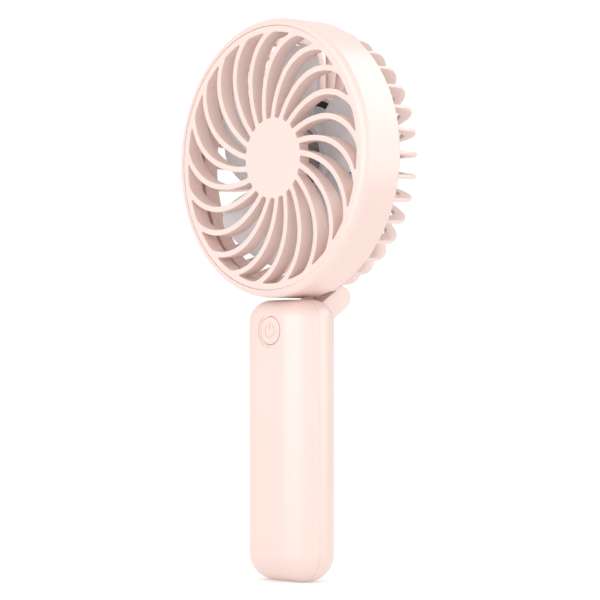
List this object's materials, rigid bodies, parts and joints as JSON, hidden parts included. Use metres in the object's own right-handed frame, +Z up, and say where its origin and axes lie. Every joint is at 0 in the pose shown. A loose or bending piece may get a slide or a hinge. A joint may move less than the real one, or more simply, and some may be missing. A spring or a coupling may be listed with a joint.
{
  "type": "handheld electric fan",
  "caption": "Slim folding handheld fan with a round guarded head, swept front spokes, radial rear fins, a rear hinge and a rounded battery handle with one power button.",
  "frame": {"origin": "middle of the flat bottom end of the handle", "axes": "+Z up along the handle to the head, -Y the way the fan blows and the button faces, +X to the right seen from the front"},
  "size_m": [0.0988, 0.0335, 0.199],
  "materials": {
    "shell_pink": "satin moulded",
    "grille_pink": "satin moulded",
    "button_pink": "satin moulded",
    "frosted_plastic": "frosted translucent",
    "rotor_steel": "dark drawn steel",
    "bright_steel": "polished",
    "screw_steel": "zinc plated",
    "lamination_steel": "stacked sheet",
    "magnet_black": "bonded ferrite",
    "tube_brass": "turned",
    "copper_wire": "enamelled",
    "motor_board_black": "solder mask",
    "board_green": "solder mask",
    "chip_black": "moulded epoxy",
    "led_clear": "clear",
    "cell_body": "drawn can",
    "sleeve_blue": "shrink film",
    "lead_insulation": "extruded",
    "pad_foam": "foam",
    "washer_nylon": "moulded"
  },
  "bodies": {
    "handle": {"handle_front_shell": "shell_pink", "handle_rear_shell": "shell_pink", "shell_screws": "screw_steel", "tact_switch": "chip_black", "status_led": "led_clear", "control_board": "board_green", "control_parts": "chip_black", "usb_c_port": "bright_steel", "battery_cell": "cell_body", "battery_sleeve": "sleeve_blue", "battery_tabs": "bright_steel", "battery_leads": "lead_insulation", "battery_pad": "pad_foam", "handle_motor_leads": "lead_insulation", "hinge_pin": "bright_steel", "hinge_pin_plug": "shell_pink", "hinge_washers": "washer_nylon"},
    "button": {"power_button": "button_pink", "switch_plunger": "chip_black"},
    "head": {"barrel": "shell_pink", "front_grille": "grille_pink", "rear_grille": "grille_pink", "motor_board": "motor_board_black", "motor_board_parts": "chip_black", "motor_screws": "screw_steel", "bearing_tube": "tube_brass", "motor_bearings": "bright_steel", "stator_core": "lamination_steel", "stator_windings": "copper_wire", "head_motor_leads": "lead_insulation"},
    "rotor": {"rotor_cup": "rotor_steel", "magnet_ring": "magnet_black", "motor_shaft": "bright_steel", "shaft_clip": "screw_steel", "impeller": "frosted_plastic"}
  },
  "joints": [
    {"name": "head_tilt", "type": "hinge", "parent": "handle", "child": "head", "pos_m": [0, 0.0185, 0.1005], "axis": [-1, 0, 0], "range_deg": [0, 180]},
    {"name": "impeller_spin", "type": "hinge", "parent": "head", "child": "rotor", "pos_m": [0, 0, 0.1496], "axis": [0, 1, 0], "continuous": true},
    {"name": "button_press", "type": "slide", "parent": "handle", "child": "button", "axis": [0, 1, 0], "range_m": [0, 0.00035], "stiffness_N_per_m": 500, "springref_m": -0.0005}
  ]
}
